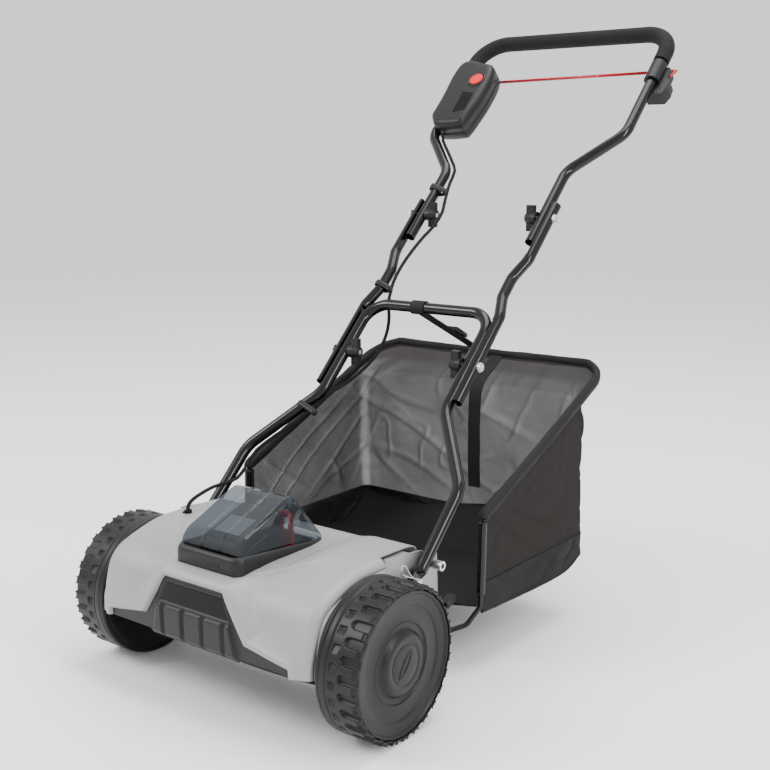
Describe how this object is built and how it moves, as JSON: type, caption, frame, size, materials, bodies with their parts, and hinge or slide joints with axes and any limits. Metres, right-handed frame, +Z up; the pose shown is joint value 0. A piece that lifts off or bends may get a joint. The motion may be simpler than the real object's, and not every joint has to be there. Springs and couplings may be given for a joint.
{
  "type": "reel mower",
  "caption": "Cordless reel mower with wide ribbed wheels, moulded hood, clear battery cover, folding tube handle with a squeeze bail, and a lift-off mesh grass catcher.",
  "frame": {"origin": "on the ground under the middle of the mower's whole width and length", "axes": "+X across the mower along the wheel axles, -Y towards the front of travel, +Z up"},
  "size_m": [0.55, 1.0414, 0.9938],
  "materials": {
    "black_tube": "satin",
    "plate_steel": "satin",
    "zinc": "satin",
    "blade_steel": "satin",
    "grey_moulding": "satin",
    "black_moulding": "matt",
    "wheel_black": "matt",
    "tread": "matt",
    "foam": "matt",
    "smoked": "gloss",
    "red": "gloss",
    "red_rod": "gloss",
    "cable_pvc": "satin",
    "belt_rubber": "matt",
    "webbing": "matt",
    "mesh_cloth": "matt",
    "black_cloth": "matt",
    "motor_can": "satin"
  },
  "bodies": {
    "deck": {"side_plate_left": "plate_steel", "side_plate_right": "plate_steel", "tie_bars": "zinc", "bed_knife_bar": "plate_steel", "bed_knife": "blade_steel", "deck_screws": "zinc", "hood_cover": "grey_moulding", "front_panel": "black_moulding", "name_plate": "black_moulding", "battery_tray": "black_moulding", "motor": "motor_can", "motor_bracket": "zinc", "drive_belt": "belt_rubber", "axle_stubs": "zinc", "reel_bearings": "zinc", "pivot_studs": "zinc", "rest_studs": "zinc", "stud_clips": "zinc", "cable_gland": "belt_rubber", "cable_deck": "cable_pvc"},
    "wheel_l": {"wheel_left": "wheel_black", "tyre_left": "tread", "wheel_cover_left": "wheel_black"},
    "wheel_r": {"wheel_right": "wheel_black", "tyre_right": "tread", "wheel_cover_right": "wheel_black"},
    "reel": {"reel_shaft": "zinc", "reel_discs": "plate_steel", "reel_blades": "blade_steel", "reel_pulley": "zinc"},
    "motor_drive": {"motor_pulley": "zinc"},
    "height_frame": {"height_bracket": "plate_steel", "height_lever": "black_moulding"},
    "roller": {"rear_roller": "black_moulding"},
    "lower_handle": {"lower_handle_tube": "black_tube", "support_strap": "webbing", "cable_lower": "cable_pvc"},
    "middle_handle": {"middle_tubes": "black_tube", "handle_bolts": "zinc", "cable_middle": "cable_pvc"},
    "upper_handle": {"upper_handle_tube": "black_tube", "foam_grip": "foam", "switch_box": "black_moulding", "switch_box_back": "black_moulding", "bail_bracket": "black_moulding", "cable_upper": "cable_pvc"},
    "knob_ll": {"lower_knob_left": "black_moulding"},
    "knob_lr": {"lower_knob_right": "black_moulding"},
    "knob_ul": {"upper_knob_left": "black_moulding"},
    "knob_ur": {"upper_knob_right": "black_moulding"},
    "bail": {"bail_lever": "red_rod"},
    "button": {"safety_button": "red"},
    "cover": {"battery_cover": "smoked"},
    "battery": {"battery_pack": "black_moulding"},
    "key": {"safety_key": "red"},
    "catcher": {"catcher_frame": "black_tube", "catcher_mesh": "mesh_cloth", "catcher_base": "black_cloth", "catcher_webbing": "webbing"}
  },
  "joints": [
    {"name": "wheel_left_spin", "type": "hinge", "parent": "deck", "child": "wheel_l", "pos_m": [-0.24, -0.39718, 0.107], "axis": [1, 0, 0], "continuous": true},
    {"name": "wheel_right_spin", "type": "hinge", "parent": "deck", "child": "wheel_r", "pos_m": [0.24, -0.39718, 0.107], "axis": [1, 0, 0], "continuous": true},
    {"name": "reel_spin", "type": "hinge", "parent": "deck", "child": "reel", "pos_m": [0, -0.39217, 0.1], "axis": [1, 0, 0], "continuous": true},
    {"name": "motor_spin", "type": "hinge", "parent": "deck", "child": "motor_drive", "pos_m": [-0.19, -0.46518, 0.16], "axis": [1, 0, 0], "continuous": true},
    {"name": "cutting_height", "type": "hinge", "parent": "deck", "child": "height_frame", "pos_m": [0, -0.28518, 0.096], "axis": [1, 0, 0], "range_deg": [-8, 8]},
    {"name": "roller_spin", "type": "hinge", "parent": "height_frame", "child": "roller", "pos_m": [0, -0.20717, 0.024], "axis": [1, 0, 0], "continuous": true},
    {"name": "handle_lift", "type": "hinge", "parent": "deck", "child": "lower_handle", "pos_m": [0, -0.29518, 0.178], "axis": [1, 0, 0], "range_deg": [0, 40], "deforming": ["cable_lower", "cable_deck"]},
    {"name": "lower_fold", "type": "hinge", "parent": "lower_handle", "child": "middle_handle", "pos_m": [0, -0.03617, 0.437], "axis": [-1, 0, 0], "range_deg": [-140, 0], "deforming": ["cable_middle"]},
    {"name": "upper_fold", "type": "hinge", "parent": "middle_handle", "child": "upper_handle", "pos_m": [0, 0.18444, 0.65762], "axis": [1, 0, 0], "range_deg": [0, 160], "deforming": ["cable_upper"]},
    {"name": "lower_knob_left_turn", "type": "hinge", "parent": "middle_handle", "child": "knob_ll", "pos_m": [-0.104, -0.03617, 0.437], "axis": [1, 0, 0], "continuous": true},
    {"name": "lower_knob_right_turn", "type": "hinge", "parent": "middle_handle", "child": "knob_lr", "pos_m": [0.104, -0.03617, 0.437], "axis": [1, 0, 0], "continuous": true},
    {"name": "upper_knob_left_turn", "type": "hinge", "parent": "middle_handle", "child": "knob_ul", "pos_m": [-0.104, 0.18444, 0.65762], "axis": [1, 0, 0], "continuous": true},
    {"name": "upper_knob_right_turn", "type": "hinge", "parent": "middle_handle", "child": "knob_ur", "pos_m": [0.104, 0.18444, 0.65762], "axis": [1, 0, 0], "continuous": true},
    {"name": "bail_squeeze", "type": "hinge", "parent": "upper_handle", "child": "bail", "pos_m": [0, 0.44324, 0.89662], "axis": [1, 0, 0], "range_deg": [0, 16], "stiffness_Nm_per_rad": 0.6, "springref_deg": -20.05},
    {"name": "button_press", "type": "slide", "parent": "upper_handle", "child": "button", "axis": [0, 0.7071, -0.7071], "range_m": [0, 0.004], "stiffness_N_per_m": 400, "springref_m": -0.002},
    {"name": "cover_open", "type": "hinge", "parent": "deck", "child": "cover", "pos_m": [0, -0.32358, 0.222], "axis": [-1, 0, 0], "range_deg": [0, 70]},
    {"name": "battery_lift", "type": "slide", "parent": "deck", "child": "battery", "axis": [0, 0, 1], "range_m": [0, 0.008]},
    {"name": "key_lift", "type": "slide", "parent": "deck", "child": "key", "axis": [0, 0, 1], "range_m": [0, 0.006]},
    {"name": "catcher_lift_off", "type": "slide", "parent": "deck", "child": "catcher", "axis": [0, 1, 0], "range_m": [0, 0.3]}
  ],
  "couplings": [
    {"joint": "motor_spin", "follows": "reel_spin", "ratio": 3}
  ]
}
